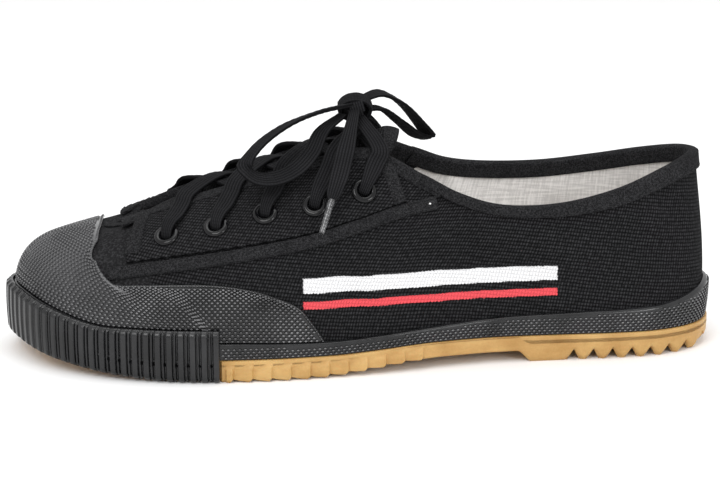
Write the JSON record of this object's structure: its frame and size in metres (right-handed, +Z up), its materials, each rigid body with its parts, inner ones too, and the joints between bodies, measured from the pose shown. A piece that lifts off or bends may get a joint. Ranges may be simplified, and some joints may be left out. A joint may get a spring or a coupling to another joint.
{
  "type": "martial arts shoe",
  "caption": "Low canvas martial arts shoe with a textured rubber toe guard, ribbed bumper, rubber foxing and toothed flat sole, laced with a tied bow; left foot.",
  "frame": {"origin": "on the floor, under the flat of the middle heel lug, on the shoe's length axis", "axes": "+X along the shoe towards the toe, +Y towards the outer (lateral) side of this left shoe, +Z up from the floor"},
  "size_m": [0.2798, 0.1038, 0.1],
  "materials": {
    "canvas": "black plain-weave cotton canvas, matt",
    "tape": "black cotton tape and binding, matt",
    "lining": "light grey woven cotton lining, matt",
    "lace": "flat ribbed black cotton lace, matt",
    "rubber": "moulded black rubber, satin",
    "gum": "tan gum rubber, satin",
    "eyelet": "glossy black enamelled metal",
    "aglet": "clear film, glossy"
  },
  "bodies": {
    "root": {"upper": "canvas", "foxing": "rubber", "toe_guard": "rubber", "lace_panel_lateral": "canvas", "lace_panel_medial": "canvas", "seam_tape_lateral": "tape", "seam_tape_medial": "tape", "collar_binding": "tape", "outsole": "gum", "insole": "lining", "toe_bumper": "rubber", "tongue": "canvas", "lace_knot": "lace", "lace_loop_lateral": "lace", "lace_loop_medial": "lace", "lace_end_lateral": "lace", "lace_end_medial": "lace", "aglet_lateral": "aglet", "aglet_medial": "aglet", "eyelet_lateral_1": "eyelet", "eyelet_lateral_2": "eyelet", "eyelet_lateral_3": "eyelet", "eyelet_lateral_4": "eyelet", "eyelet_lateral_5": "eyelet", "eyelet_medial_1": "eyelet", "eyelet_medial_2": "eyelet", "eyelet_medial_3": "eyelet", "eyelet_medial_4": "eyelet", "eyelet_medial_5": "eyelet", "lace_crossing_1": "lace", "lace_crossing_2": "lace", "lace_crossing_3": "lace", "lace_crossing_4": "lace"}
  },
  "joints": []
}
